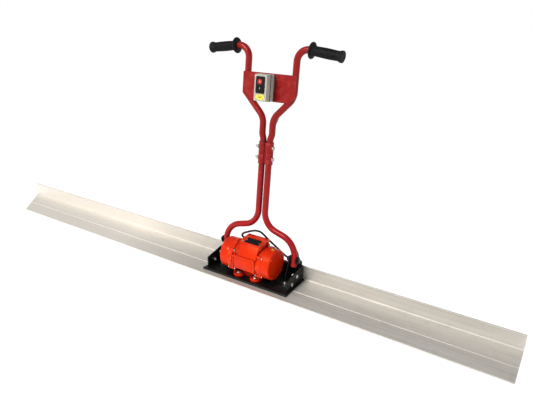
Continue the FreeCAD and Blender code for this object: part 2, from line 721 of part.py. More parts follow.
def end_cover(side, sign):
    """Deep round cap over an eccentric weight, with a rounded rim, a dished face and four screw holes."""
    body = new_body("end_cover_" + side)
    low = dims.body_half + dims.shield_width
    section = sketch_on(body, "XY", "cover_section_" + side)
    outer = dims.cover_radius
    face = dims.motor_half
    wall = dims.cover_wall
    barrel = outer - 1.5
    dish = face - 2
    corners = [(low, barrel - wall, 0), (low, outer, 0), (low + 6, outer, 1), (low + 7, barrel, 1),
               (face, barrel, 5), (face, outer - 12, 2), (dish, outer - 14, 2), (dish, 0, 0),
               (dish - wall, 0, 0), (dish - wall, barrel - wall, 4)]
    outline(section, [(a * sign, b, r) for a, b, r in corners])
    revolve(body, section, "H_Axis")
    holes = []
    outward = "+X" if sign > 0 else "-X"
    for index, (y, z) in enumerate(screw_circle(COVER_SCREW_RING)):
        place = (dims.motor_half * sign, y, z)
        holes.append(rod("cover_hole_%s_%d" % (side, index), step(place, outward, 3), opposite(outward), 2.7, 12))
    if sign > 0:
        holes.append(rod("cover_plug_hole", (COVER_PLUG_X, 0, dims.cover_radius - 9), "+Z", 4.1, 20))
    keep("end_cover_" + side, cut("cover_cut_" + side, body, holes), motor_place())


def screw_circle(radius):
    """Four places round the motor axis, on the diagonals."""
    return [(radius * math.cos(math.radians(turn)), radius * math.sin(math.radians(turn)))
            for turn in (45, 135, 225, 315)]


def cover_screws():
    """Long screws that clamp each cover to its shield, round heads outside."""
    pieces = []
    grip_length = dims.motor_half - dims.body_half - dims.shield_width - 6
    for side, sign in SIDES:
        outward = "+X" if sign > 0 else "-X"
        for index, (y, z) in enumerate(screw_circle(COVER_SCREW_RING)):
            name = "cover_screw_%s_%d" % (side, index)
            seat = (dims.motor_half * sign, y, z)
            shank = rod(name + "_shank", step(seat, opposite(outward), grip_length), outward, 2.5, grip_length)
            head = rod(name + "_head", seat, outward, 4.6, 3)
            pieces.append(fuse(name, [shank, head]))
    keep("cover_screws", group("cover_screw_set", pieces), motor_place())


def stator():
    """Laminated stator core pressed into the barrel, and its two winding heads."""
    reach = as_size(34)
    coil_width = 14
    start = (-reach, -dims.motor_y, dims.motor_z)
    core = rod("stator_mass", start, "+X", dims.body_radius - 6, reach * 2)
    keep("stator_core", cut("stator_cut", core, [rod("stator_bore", start, "+X", 31, reach * 2)]))
    coils = []
    for side, sign in SIDES:
        outward = "+X" if sign > 0 else "-X"
        place = step((0, -dims.motor_y, dims.motor_z), outward, reach)
        ring = rod("coil_mass_" + side, place, outward, 46, coil_width)
        coils.append(cut("coil_" + side, ring, [rod("coil_bore_" + side, place, outward, 33, coil_width)]))
    keep("stator_winding", group("winding_set", coils))


def rotor():
    """Shaft with shoulders, laminated rotor core, two half-round eccentric weights and their clamp bolts."""
    body = new_body("rotor_shaft")
    section = sketch_on(body, "XY", "shaft_section")
    radius = dims.shaft_radius
    end = dims.motor_half - 14
    shoulder = dims.body_half - 10
    outline(section, [(-end, 0, 0), (-end, radius - 1, 0), (-end + 1, radius, 0), (-shoulder, radius, 0),
                      (-shoulder, radius + 4, 0), (shoulder, radius + 4, 0), (shoulder, radius, 0),
                      (end - 1, radius, 0), (end, radius - 1, 0), (end, 0, 0)])
    revolve(body, section, "H_Axis")
    keep("rotor_shaft", body, motor_place())
    core_length = 70
    start = (-core_length / 2, 0, 0)
    core = rod("rotor_mass", start, "+X", 30.5, core_length)
    bore = rod("rotor_core_bore", start, "+X", radius + 4, core_length)
    keep("rotor_core", cut("rotor_core_cut", core, [bore]), motor_place())
    clamps = []
    thick = 22
    clamp_top = 19
    for side, sign in SIDES:
        inner = dims.body_half + dims.shield_width + 4
        low = inner if sign > 0 else -inner - thick
        weight = new_body("eccentric_" + side)
        shape = sketch_on(weight, "YZ", "eccentric_section_" + side, low)
        reach = 45
        outline(shape, [(-clamp_top, -8, 6), (-reach, -8, 4), (-reach, -reach, 40), (reach, -reach, 40),
                        (reach, -8, 4), (clamp_top, -8, 6), (clamp_top, clamp_top, 10),
                        (-clamp_top, clamp_top, 10)])
        circle(shape, (0, 0), radius)
        pad(weight, shape, thick)
        drill = rod("clamp_way_" + side, (low + thick / 2, 0, -60), "+Z", M8, 90)
        keep("eccentric_weight_" + side, cut("eccentric_cut_" + side, weight, [drill]), motor_place())
        clamps.append(bolt("weight_bolt_" + side, (low + thick / 2, 0, clamp_top), "+Z", M8, 8))
    keep("weight_bolts", group("weight_bolt_set", clamps), motor_place())


def terminal_box():
    """Cast box on the housing's neck, lid with a sloped front, gasket, screws, plate and terminals."""
    x0 = dims.box_middle - dims.box_length / 2
    y0 = -dims.motor_y - dims.box_depth / 2
    z0 = dims.box_floor
    wall = 3
    body = new_body("terminal_box")
    foot = sketch_on(body, "XY", "box_foot", z0)
    rectangle(foot, (x0, y0), (x0 + dims.box_length, y0 + dims.box_depth), 6)
    pad(body, foot, dims.box_top - z0)
    doc.recompute()
    room = sketch_on(body, "XY", "box_room", dims.box_top)
    rectangle(room, (x0 + wall, y0 + wall), (x0 + dims.box_length - wall, y0 + dims.box_depth - wall), 3)
    pocket(body, room, dims.box_top - z0 - wall)
    floor_hole = rod("box_floor_hole", (dims.box_middle, -dims.motor_y, z0 - 1), "+Z", 10, 6)
    gland_hole = rod("box_gland_hole", (x0 - 2, GLAND_Y, GLAND_Z), "+X", GLAND_STEM + 0.1, 8)
    plug_hole = rod("box_plug_hole", (x0 + dims.box_length - 6, GLAND_Y, GLAND_Z), "+X", PLUG_STEM + 0.1, 8)
    keep("terminal_box", cut("terminal_box_cut", body, [floor_hole, gland_hole, plug_hole]))

    seal_body = new_body("terminal_gasket")
    seal = sketch_on(seal_body, "XY", "gasket_outline", dims.box_top)
    shy = 0.5
    rectangle(seal, (x0 + shy, y0 + shy), (x0 + dims.box_length - shy, y0 + dims.box_depth - shy), 5.5)
    rectangle(seal, (x0 + wall, y0 + wall), (x0 + dims.box_length - wall, y0 + dims.box_depth - wall), 3)
    pad(seal_body, seal, GASKET)
    keep("terminal_gasket", seal_body)

    lid = new_body("terminal_lid")
    low = dims.box_top + GASKET
    top = low + dims.lid_front + dims.lid_rise
    brim = 1
    section = sketch_on(lid, "YZ", "lid_section", x0 - brim)
    outline(section, [(y0 - brim, low, 0), (y0 + dims.box_depth + brim, low, 0),
                      (y0 + dims.box_depth + brim, low + 4, 2), (y0 + dims.box_depth - 6, top, 4),
                      (y0 + LID_SLOPE, top, 8), (y0 - brim, low + dims.lid_front, 1.5)])
    pad(lid, section, dims.box_length + brim * 2)
    screws = []
    holes = []
    seat = low + 2
    inset_x = 6.5
    inset_y = 9
    for index, (x, y) in enumerate([(x0 + dx, y0 + dy) for dx in (inset_x, dims.box_length - inset_x)
                                    for dy in (inset_y, dims.box_depth - inset_y)]):
        holes.append(rod("lid_hole_%d" % index, (x, y, low - 1), "+Z", 2.3, 20))
        holes.append(rod("lid_sink_%d" % index, (x, y, seat), "+Z", 5, 20))
        name = "lid_screw_%d" % index
        shank = rod(name + "_shank", (x, y, low), "+Z", 2, 2)
        head = rod(name + "_head", (x, y, seat), "+Z", 4.2, 2.6)
        screws.append(fuse(name, [shank, head]))
    keep("terminal_lid", cut("lid_cut", lid, holes))
    keep("terminal_screws", group("terminal_screw_set", screws))

    strip_size = (52, 14, 6)
    pitch = 17
    strip_low = (dims.box_middle - strip_size[0] / 2, -dims.motor_y - 28, z0 + wall)
    strip = block("terminal_strip", strip_low, strip_size)
    stud_y = strip_low[1] + strip_size[1] / 2
    studs = [rod("terminal_stud_%d" % i, (dims.box_middle + (i - 1) * pitch, stud_y, z0 + wall + strip_size[2]),
                 "+Z", 2.5, 4) for i in range(3)]
    keep("terminal_block", fuse("terminal_block_mass", [strip] + studs))


def nameplate():
    """Blank black plate on the lid's sloping front."""
    y0 = number(-dims.motor_y - dims.box_depth / 2)
    low = number(dims.box_top + GASKET + dims.lid_front)
    slope = math.atan2(number(dims.lid_rise), LID_SLOPE + 1)
    inset = 6
    plate = doc.addObject("Part::Box", "plate_sheet")
    plate.Length, plate.Width, plate.Height = PLATE
    start = Vector(number(dims.box_middle) - PLATE[0] / 2 + 3, y0 + inset - 1, low + inset * math.tan(slope) + 0.02)
    keep("nameplate", plate, Placement(start, Rotation(Vector(1, 0, 0), math.degrees(slope))))


def blanking_plug():
    """Plug in the spare cable entry on the box's right end."""
    face = (dims.box_middle + dims.box_length / 2, GLAND_Y, GLAND_Z)
    stem = rod("plug_stem", step(face, "-X", 5), "+X", PLUG_STEM, 5)
    collar = hexagon("plug_collar", face, "+X", 13, 4)
    dome = taper("plug_dome", step(face, "+X", 4), "+X", 5.6, 4, 5)
    keep("blanking_plug", fuse("blanking_mass", [stem, collar, dome]))


def cover_plug():
    """Brass plug in the top of the right end cover."""
    base = (COVER_PLUG_X, -dims.motor_y, dims.motor_z + dims.cover_radius - 7)
    stem = rod("cover_plug_stem", base, "+Z", 4, 7)
    flats = hexagon("cover_plug_hex", step(base, "+Z", 6), "+Z", 13, 4)
    tip = rod("cover_plug_tip", step(base, "+Z", 10), "+Z", 4, 2.5)
    keep("cover_plug", fuse("cover_plug_mass", [stem, flats, tip]))


def lead_gland():
    """Black cable gland on the box's left end: threaded stem, collar and domed nut."""
    x0 = dims.box_middle - dims.box_length / 2
    stem = rod("gland_stem", (x0 - 1, GLAND_Y, GLAND_Z), "+X", GLAND_STEM, 6)
    collar = hexagon("gland_collar", (x0, GLAND_Y, GLAND_Z), "-X", 14.4, 6)
    dome = taper("gland_dome", (x0 - 6, GLAND_Y, GLAND_Z), "-X", 7, 5.6, 12)
    mass = fuse("gland_mass", [stem, collar, dome])
    bore = rod("gland_bore", (x0 - 20, GLAND_Y, GLAND_Z), "+X", dims.lead_radius, 40)
    keep("lead_gland", cut("gland_cut", mass, [bore]))


# ---------------------------------------------------------------- handle
def tube(name, route, start_plane, start_offset):
    """A bent round tube along a route in the handle's plane."""
    body = new_body(name)
    path = sketch_on(body, "XZ", name + "_path")
    outline(path, route, closed=False)
    ring = sketch_on(body, start_plane, name + "_ring", start_offset)
    circle(ring, (route[0][0], 0), dims.tube_radius)
    circle(ring, (route[0][0], 0), dims.tube_radius - dims.tube_wall)
    pipe(body, ring, path)
    return body


def lower_tube(side, sign):
    """Leg, shoulder and stem in one bent tube, with a cross hole for the pivot bush."""
    route = [(dims.leg_x * sign, -dims.leg_below, 0), (dims.leg_x * sign, dims.shoulder_low, 80),
             (dims.stem_x * sign, dims.shoulder_high, 72), (dims.stem_x * sign, dims.coupler_low + 38, 0)]
    body = tube("lower_tube_" + side, route, "XY", -dims.leg_below)
    start = (dims.leg_x * sign - 20, 0, 0)
    tools = [rod("bush_hole_" + side, start, "+X", 8, 40)]
    tools.append(rod("lower_bolt_hole_" + side, (-40, 0, COUPLER_BOLT_HEIGHTS[0]), "+X", M8_HOLE, 80))
    keep("lower_tube_" + side, cut("lower_tube_cut_" + side, body, tools), handle_place())


def pivot_bush(side, sign):
    """Rubber bush through the leg: a sleeve with a thick disc on each side."""
    reach = dims.tube_radius + 0.2
    outward = "+X" if sign > 0 else "-X"
    middle = (dims.leg_x * sign, 0, 0)
    sleeve = rod("bush_sleeve_" + side, step(middle, opposite(outward), reach), outward, 7.9, reach * 2)
    outer = rod("bush_outer_" + side, step(middle, outward, reach), outward, 15, BUSH_DISC)
    inner = rod("bush_inner_" + side, step(middle, opposite(outward), reach), opposite(outward), 13,
                BUSH_DISC - 0.2)
    bore = rod("bush_bore_" + side, step(middle, opposite(outward), 30), outward, M10 + dims.run_gap, 60)
    keep("pivot_bush_" + side, cut("bush_cut_" + side, fuse("bush_mass_" + side, [sleeve, outer, inner]), [bore]),
         handle_place())


def tube_coupler():
    """Two sockets welded side by side that join the lower and upper tubes."""
    outer = dims.tube_radius + dims.coupler_wall
    pieces = [rod("socket_" + side, (dims.stem_x * sign, 0, dims.coupler_low), "+Z", outer, dims.coupler_length)
              for side, sign in SIDES]
    pieces.append(block("socket_web", (-7, -7, dims.coupler_low), (14, 14, dims.coupler_length)))
    bores = [rod("socket_bore_" + side, (dims.stem_x * sign, 0, dims.coupler_low - 1), "+Z",
                 dims.tube_radius, dims.coupler_length + 2) for side, sign in SIDES]
    for index, height in enumerate(COUPLER_BOLT_HEIGHTS):
        bores.append(rod("coupler_hole_%d" % index, (-50, 0, height), "+X", M8_HOLE, 100))
    keep("tube_coupler", cut("coupler_cut", fuse("coupler_mass", pieces), bores), handle_place())


def coupler_bolts():
    """Two through bolts across both sockets, with their nuts on the left."""
    reach = dims.stem_x + dims.tube_radius + dims.coupler_wall
    pieces = []
    for index, height in enumerate(COUPLER_BOLT_HEIGHTS):
        name = "coupler_bolt_%d" % index
        pieces.append(bolt(name, (reach, 0, height), "+X", M8, reach * 2 + 15))
        pieces.append(nut(name + "_nut", (-reach, 0, height), "-X", M8))
    keep("coupler_bolts", group("coupler_bolt_set", pieces), handle_place())


def coupler_plug():
    """Black rubber wedge that closes the gap between the tubes on top of the coupler."""
    top = dims.coupler_low + dims.coupler_length
    wedge = block("plug_block", (-dims.stem_x - 2, -9, top), (dims.stem_x * 2 + 4, 18, 5))
    tools = [rod("plug_clear_" + side, (dims.stem_x * sign, 0, top - 1), "+Z", dims.tube_radius + 0.6, 12)
             for side, sign in SIDES]
    keep("coupler_plug", cut("plug_cut", wedge, tools), handle_place())


def upper_tube(side, sign):
    """Neck, fork and bar in one bent tube that ends inside the grip."""
    start = dims.coupler_low + 40
    slope = math.tan(math.radians(dims.grip_drop.number))
    out = dims.grip_end - 4
    route = [(dims.stem_x * sign, start, 0), (dims.stem_x * sign, dims.coupler_low + 94, 26),
             (dims.neck_x * sign, dims.coupler_low + 112, 26), (dims.neck_x * sign, dims.fork_low, 58),
             (dims.panel_x * sign, dims.fork_high, 58), (dims.panel_x * sign, dims.bar_top, 42),
             (out * sign, dims.bar_top - (out - dims.panel_x) * slope, 0)]
    body = tube("upper_tube_" + side, route, "XY", start)
    tools = [rod("upper_bolt_hole_" + side, (-40, 0, COUPLER_BOLT_HEIGHTS[1]), "+X", M8_HOLE, 80)]
    keep("upper_tube_" + side, cut("upper_tube_cut_" + side, body, tools), handle_place())


def grip_place(sign):
    """The grip's axis runs outwards along +Z of its own frame, drooping from the corner of the bar."""
    drop = math.radians(dims.grip_drop.number)
    x = dims.grip_end.number - dims.grip_length.number
    height = dims.bar_top.number - (x - dims.panel_x.number) * math.tan(drop)
    turn = Rotation(Vector(0, 0, 1), Vector(sign * math.cos(drop), 0, -math.sin(drop)))
    return handle_place().multiply(Placement(Vector(sign * x, 0, height), turn))


def grip(side, sign):
    """Moulded grip: thumb flange, ribbed barrel and a flared closed end."""
    body = new_body("grip_" + side)
    section = sketch_on(body, "XZ", "grip_section_" + side)
    inner = dims.tube_radius
    end = dims.grip_length
    guard = 29
    outline(section, [(inner, 0, 0), (inner + 5, 0, 1), (guard, 4, 2), (guard, 9, 2),
                      (dims.grip_radius + 1.5, 13, 3),
                      (dims.grip_radius, 30, 20), (dims.grip_radius - 0.6, end - 14, 20),
                      (dims.grip_radius + 2.5, end - 8, 2), (dims.grip_radius + 2.5, end, 2),
                      (0, end, 0), (0, end - 3, 0), (inner, end - 3, 0)])
    revolve(body, section, "V_Axis")
    keep("grip_" + side, body, grip_place(sign))


def switch_panel():
    """Sheet welded across the front of the upper tubes."""
    body = new_body("switch_panel")
    sheet_outline = sketch_on(body, "XZ", "panel_outline", dims.tube_radius)
    low = dims.panel_low
    high = dims.panel_high
    half = dims.panel_half
    snip = 22
    outline(sheet_outline, [(-half + snip, low, 4), (half - snip, low, 4), (half, low + snip, 10),
                            (half, high, 3), (-half, high, 3), (-half, low + snip, 10)])
    pad(body, sheet_outline, dims.panel_sheet)
    holes = [rod("panel_lead_hole", (0, -dims.tube_radius - 10, LEAD_HEIGHT), "+Y", 7, 20),
             rod("panel_supply_hole", (0, -dims.tube_radius - 10, SUPPLY_HEIGHT), "+Y", SUPPLY_HOLE, 20)]
    keep("switch_panel", cut("panel_cut", body, holes), handle_place())


def supply_gland():
    """Gland behind the panel where the supply cord enters the switch box."""
    back = (0, -dims.tube_radius, SUPPLY_HEIGHT)
    collar_thick = 5
    reach = dims.panel_sheet + dims.switch_wall + 3
    stem = rod("supply_stem", step(back, "-Y", reach), "+Y", SUPPLY_STEM, reach + 0.5)
    collar = hexagon("supply_collar", back, "+Y", 21, collar_thick)
    dome = taper("supply_dome", step(back, "+Y", collar_thick), "+Y", 9.5, 6.5, 11)
    bore = rod("supply_bore", step(back, "-Y", 20), "+Y", dims.lead_radius, 50)
    keep("supply_gland", cut("supply_cut", fuse("supply_mass", [stem, collar, dome]), [bore]), handle_place())


def leg_caps():
    """Plastic plugs in the open lower ends of the legs."""
    caps = []
    for side, sign in SIDES:
        base = (dims.leg_x * sign, 0, -dims.leg_below)
        disc = rod("cap_disc_" + side, base, "-Z", dims.tube_radius, 2)
        spigot = rod("cap_spigot_" + side, base, "+Z", dims.tube_radius - dims.tube_wall - 0.05, 8)
        caps.append(fuse("cap_" + side, [disc, spigot]))
    keep("leg_caps", group("leg_cap_set", caps), handle_place())


def switch_shell(name, depth_start, depth, open_front):
    """One shell of the switch box: a rounded block hollowed from its open side."""
    body = new_body(name)
    half = dims.switch_width / 2
    low = dims.switch_low
    high = dims.switch_low + dims.switch_height
    wall = dims.switch_wall
    outside = sketch_on(body, "XZ", name + "_outside", depth_start)
    rectangle(outside, (-half, low), (half, high), 5)
    pad(body, outside, depth)
    doc.recompute()
    room_start = depth_start + depth if open_front else depth_start
    room = sketch_on(body, "XZ", name + "_room", room_start)
    rectangle(room, (-half + wall, low + wall), (half - wall, high - wall), 3)
    pocket(body, room, as_size(depth) - wall, back=not open_front)
    return body


PANEL_FRONT = dims.tube_radius + dims.panel_sheet
COVER_START = PANEL_FRONT + dims.switch_base_depth
COVER_FRONT = COVER_START + dims.switch_cover_depth
BUTTON_HEIGHTS = {"stop_button": dims.switch_low + 69, "start_button": dims.switch_low + 46}
BUTTON_RADIUS = 9.5
LABEL_RADII = (1, 18, 10)


def switch_box():
    """Rear shell on the panel, front shell with a window, bezel, buttons and what is behind them."""
    base = switch_shell("switch_base", PANEL_FRONT, dims.switch_base_depth, True)
    ways = [rod("switch_lead_way", (0, -PANEL_FRONT - 5, LEAD_HEIGHT), "+Y", 7, 20),
            rod("switch_supply_way", (0, -PANEL_FRONT - 5, SUPPLY_HEIGHT), "+Y", SUPPLY_HOLE, 20)]
    keep("switch_base", cut("switch_base_cut", base, ways), handle_place())

    cover = switch_shell("switch_cover", COVER_START, dims.switch_cover_depth, False)
    window = block("switch_window", (-15, -COVER_FRONT - 1, dims.switch_low + 31), (30, 8, 53))
    keep("switch_cover", cut("switch_cover_cut", cover, [window]), handle_place())

    bezel = new_body("switch_bezel")
    frame_sketch = sketch_on(bezel, "XZ", "bezel_outline", COVER_FRONT)
    rectangle(frame_sketch, (-18, dims.switch_low + 28), (18, dims.switch_low + 87), 5)
    pad(bezel, frame_sketch, 3.5)
    ways = [rod(name + "_way", (0, -COVER_FRONT - 8, height), "+Y", BUTTON_RADIUS + 0.3, 12)
            for name, height in BUTTON_HEIGHTS.items()]
    keep("switch_bezel", cut("bezel_cut", bezel, ways), handle_place())

    for name, height in BUTTON_HEIGHTS.items():
        proud = 5.5 if name == "stop_button" else 4.6
        cap = rod(name + "_cap", (0, -COVER_FRONT - proud, height), "+Y", BUTTON_RADIUS, proud + 1)
        flange = rod(name + "_flange", (0, -COVER_FRONT + 0.3, height), "+Y", BUTTON_RADIUS + 1.5, 2)
        stem = rod(name + "_stem", (0, -COVER_FRONT + 2, height), "+Y", 2.5, 16)
        keep(name, fuse(name + "_mass", [cap, flange, stem]), handle_place())

    springs = []
    for name, height in BUTTON_HEIGHTS.items():
        start = (0, -COVER_FRONT + 2.4, height)
        ring = rod(name + "_spring_mass", start, "+Y", 5, 14)
        springs.append(cut(name + "_spring", ring, [rod(name + "_spring_bore", start, "+Y", 3.8, 14)]))
    keep("stop_spring", group("stop_spring_set", [springs[0]]), handle_place())
    keep("start_spring", group("start_spring_set", [springs[1]]), handle_place())

    contacts = block("contact_mass", (-14, -COVER_FRONT + 16.5, dims.switch_low + 32), (28, 29, 52))
    ways = [rod(name + "_contact_way", (0, -COVER_FRONT + 15, height), "+Y", 3, 9)
            for name, height in BUTTON_HEIGHTS.items()]
    keep("contact_block", cut("contact_cut", contacts, ways), handle_place())

    label = doc.addObject("Part::Ellipsoid", "label_mass")
    label.Radius1, label.Radius2, label.Radius3 = LABEL_RADII
    put(label, 0, -COVER_FRONT, dims.switch_low + 15)
    label.Placement = Placement(label.Placement.Base, Rotation(Vector(1, 0, 0), 90))
    behind = block("label_behind", (-30, -COVER_FRONT, dims.switch_low), (60, 10, 30))
    keep("switch_label", cut("label_cut", label, [behind]), handle_place())

    corners = [(x, dims.switch_low + z) for x in (-21, 21) for z in (5.5, 88.5)]
    head = 1.2
    screws = [rod("switch_screw_%d" % i, (x, -COVER_FRONT - head, z), "+Y", 2.6, head)
              for i, (x, z) in enumerate(corners)]
    keep("switch_screws", group("switch_screw_set", screws), handle_place())


# ---------------------------------------------------------------- leads
def bent_path(points, bends):
    """Straight runs joined by tangent arcs through hand-placed points."""
    edges = []
    start = points[0]
    for index in range(1, len(points) - 1):
        corner = points[index]
        back = (points[index - 1] - corner).normalize()
        ahead = (points[index + 1] - corner).normalize()
        half = back.getAngle(ahead) / 2
        reach = bends[index - 1] / math.tan(half)
        middle = (back + ahead).normalize()
        centre = corner + middle * (bends[index - 1] / math.sin(half))
        first = corner + back * reach
        last = corner + ahead * reach
        edges.append(Part.LineSegment(start, first).toShape())
        edges.append(Part.Arc(first, centre - middle * bends[index - 1], last).toShape())
        start = last
    edges.append(Part.LineSegment(start, points[-1]).toShape())
    return Part.Wire(edges)


def largest_bends(points):
    """Each arc as large as its two runs allow."""
    bends = []
    for before, corner, after in zip(points, points[1:], points[2:]):
        back = before - corner
        ahead = after - corner
        turn = math.pi - back.getAngle(ahead)
        bends.append(0.45 * min(back.Length, ahead.Length) / math.tan(turn / 2))
    return bends


def lead(name, points, placement=None):
    """A round lead along a route, checked against its section times its length."""
    radius = dims.lead_radius.number
    bends = largest_bends(points)
    path = bent_path(points, bends)
    start = points[0]
    ring = Part.Wire(Part.makeCircle(radius, start, points[1] - start))
    solid = path.makePipeShell([ring], True, False)
    expected = math.pi * radius ** 2 * path.Length
    print("%s: length %.0f, radii %s, volume %.4f of expected"
          % (name, path.Length, [round(b) for b in bends], solid.Volume / expected))
    feature = doc.addObject("Part::Feature", name + "_solid")
    feature.Shape = solid
    keep(name, feature, placement)


def leads():
    """Motor lead over the terminal box and down behind the right leg; handle lead up the back of the tubes."""
    x0 = (dims.box_middle - dims.box_length / 2).number
    y, z = GLAND_Y.number, GLAND_Z.number
    behind = dims.tube_radius.number + dims.lead_radius.number + 0.6
    groove = behind - 3
    junction = Vector(153, behind, -8)
    joint = handle_place().multVec(junction)
    lead("motor_lead", [Vector(x0 - 18, y, z), Vector(x0 - 30, y, z), Vector(x0 - 38, y + 2, z + 13),
                        Vector(x0 - 26, y + 4, z + 30), Vector(x0 + 2, y + 7, z + 39),
                        Vector(x0 + 38, y + 12, z + 40), Vector(x0 + 68, y + 19, z + 30),
                        Vector(x0 + 86, y + 29, z + 9), Vector(x0 + 96, y + 37, z - 14),
                        Vector(x0 + 107, y + 43, z - 36), Vector(x0 + 124, joint.y - 1, z - 55),
                        Vector(x0 + 146, joint.y + 0.4, joint.z + 0.6), joint - Vector(12, 0, 0), joint])
    lead("handle_lead", [junction, junction + Vector(13, 0, 0), Vector(170, behind, 6),
                         Vector(166, behind, 22), Vector(153, behind, 40), Vector(135, behind - 0.3, 56),
                         Vector(112, behind - 1, 71), Vector(80, behind, 80), Vector(46, behind, 90),
                         Vector(19, behind, 112), Vector(5, behind - 0.5, 146), Vector(0, groove, 188),
                         Vector(-0.6, groove, 240), Vector(0.4, groove, 296), Vector(0, groove + 1, 350),
                         Vector(2, behind + 2, 404), Vector(8, behind + 1, 452), Vector(20, behind, 500),
                         Vector(38, behind, 543), Vector(64, behind, 572), Vector(84, behind, 602),
                         Vector(80, behind - 2, 634), Vector(54, behind - 6, 648), Vector(24, behind - 6, 640),
                         Vector(4, behind - 8, 622), Vector(0, 0, 604), Vector(0, -18, 604)], handle_place())


# ---------------------------------------------------------------- assembly
def build():
    blade()
    base_tray()
    tray_bolts()
    flange_bolts()
    bracket_bolts()
    pivot_bolts()
    motor_housing()
    motor_bolts()
    cover_screws()
    stator()
    rotor()
    terminal_box()
    nameplate()
    blanking_plug()
    cover_plug()
    lead_gland()
    tube_coupler()
    coupler_bolts()
    coupler_plug()
    leg_caps()
    switch_panel()
    supply_gland()
    switch_box()
    for side, sign in SIDES:
        hinge_bracket(side, sign)
        end_shield(side, sign)
        bearing(side, sign)
        end_cover(side, sign)
        lower_tube(side, sign)
        pivot_bush(side, sign)
        upper_tube(side, sign)
        grip(side, sign)
    leads()


def write():
    """Check every object, then write each sub-part's STEP file."""
    doc.recompute()
    broken = [o.Name for o in doc.Objects if "Invalid" in o.State or "Error" in o.State]
    if broken:
        raise SystemExit("objects that failed: " + ", ".join(broken))
    for thing in parts:
        if thing.Shape.isNull() or not thing.Shape.isValid() or not thing.Shape.Solids:
            raise SystemExit("bad shape: " + thing.Label)
    os.makedirs("parts", exist_ok=True)
    for thing in parts:
        thing.Shape.exportStep("parts/%s.step" % thing.Label)
    print("%d sub-parts written" % len(parts))


build()
write()
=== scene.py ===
"""Looks of the power screed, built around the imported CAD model. Metres, in the CAD model's own frame."""
import json
import math

import bmesh
import bpy
from mathutils import Matrix, Vector


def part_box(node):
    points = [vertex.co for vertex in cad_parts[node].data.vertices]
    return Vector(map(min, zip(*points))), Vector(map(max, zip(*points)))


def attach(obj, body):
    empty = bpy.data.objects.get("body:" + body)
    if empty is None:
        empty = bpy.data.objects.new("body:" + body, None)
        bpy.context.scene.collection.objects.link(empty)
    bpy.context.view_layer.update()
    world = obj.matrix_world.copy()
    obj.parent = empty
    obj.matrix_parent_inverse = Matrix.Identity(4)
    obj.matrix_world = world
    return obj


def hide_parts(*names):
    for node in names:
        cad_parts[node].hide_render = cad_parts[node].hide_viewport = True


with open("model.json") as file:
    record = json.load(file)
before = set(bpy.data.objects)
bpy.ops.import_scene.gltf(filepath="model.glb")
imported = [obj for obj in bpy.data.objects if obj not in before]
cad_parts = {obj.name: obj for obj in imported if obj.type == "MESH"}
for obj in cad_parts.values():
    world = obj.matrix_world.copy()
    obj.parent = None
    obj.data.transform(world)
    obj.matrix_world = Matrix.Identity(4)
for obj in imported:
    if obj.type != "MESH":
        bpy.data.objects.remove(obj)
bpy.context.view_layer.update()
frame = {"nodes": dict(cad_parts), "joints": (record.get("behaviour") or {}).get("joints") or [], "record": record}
NODES = frame["nodes"]
SIDES = (("left", -1), ("right", 1))


# ---------------------------------------------------------------- camera, floor and light
CAMERA_PLACE = (1.011, -1.548, 1.070)
CAMERA_YAW = 0.572
CAMERA_PITCH = 0.407
CAMERA_LENS = 34.5
CAMERA_SENSOR = 36


def make_camera():
    """The viewing angle: from the right of the blade's front edge, looking down at the motor."""
    data = bpy.data.cameras.new("camera")
    data.lens = CAMERA_LENS
    data.sensor_width = CAMERA_SENSOR
    camera = bpy.data.objects.new("camera", data)
    camera.location = CAMERA_PLACE
    camera.rotation_euler = (math.pi / 2 - CAMERA_PITCH, 0, CAMERA_YAW)
    bpy.context.scene.collection.objects.link(camera)
    bpy.context.scene.camera = camera


def make_floor():
    """A white studio floor that glows a little, so that it stays white all round the object."""
    mesh = bpy.data.meshes.new("floor")
    reach = 150
    drop = 0.0005
    grey = 0.34
    corners = [(-reach, -reach, 0), (reach, -reach, 0), (reach, reach, 0), (-reach, reach, 0)]
    mesh.from_pydata(corners, [], [(0, 1, 2, 3)])
    floor = bpy.data.objects.new("floor", mesh)
    bpy.context.scene.collection.objects.link(floor)
    floor.location.z = -drop
    look = bpy.data.materials.new("floor_white")
    look.use_nodes = True
    shader = look.node_tree.nodes["Principled BSDF"]
    shader.inputs["Base Color"].default_value = (grey, grey, grey, 1)
    shader.inputs["Roughness"].default_value = 0.95
    shader.inputs["Specular IOR Level"].default_value = 0
    shader.inputs["Emission Color"].default_value = (1, 1, 1, 1)
    shader.inputs["Emission Strength"].default_value = 0.84
    mesh.materials.append(look)


def area_light(name, place, target, size, power, color=(1, 1, 1)):
    """A square lamp that looks at a target."""
    data = bpy.data.lights.new(name, "AREA")
    data.shape = "RECTANGLE"
    data.size = size
    data.size_y = size
    data.energy = power
    data.color = color
    light = bpy.data.objects.new(name, data)
    light.location = place
    light.rotation_euler = (Vector(target) - Vector(place)).to_track_quat("-Z", "Y").to_euler()
    bpy.context.scene.collection.objects.link(light)


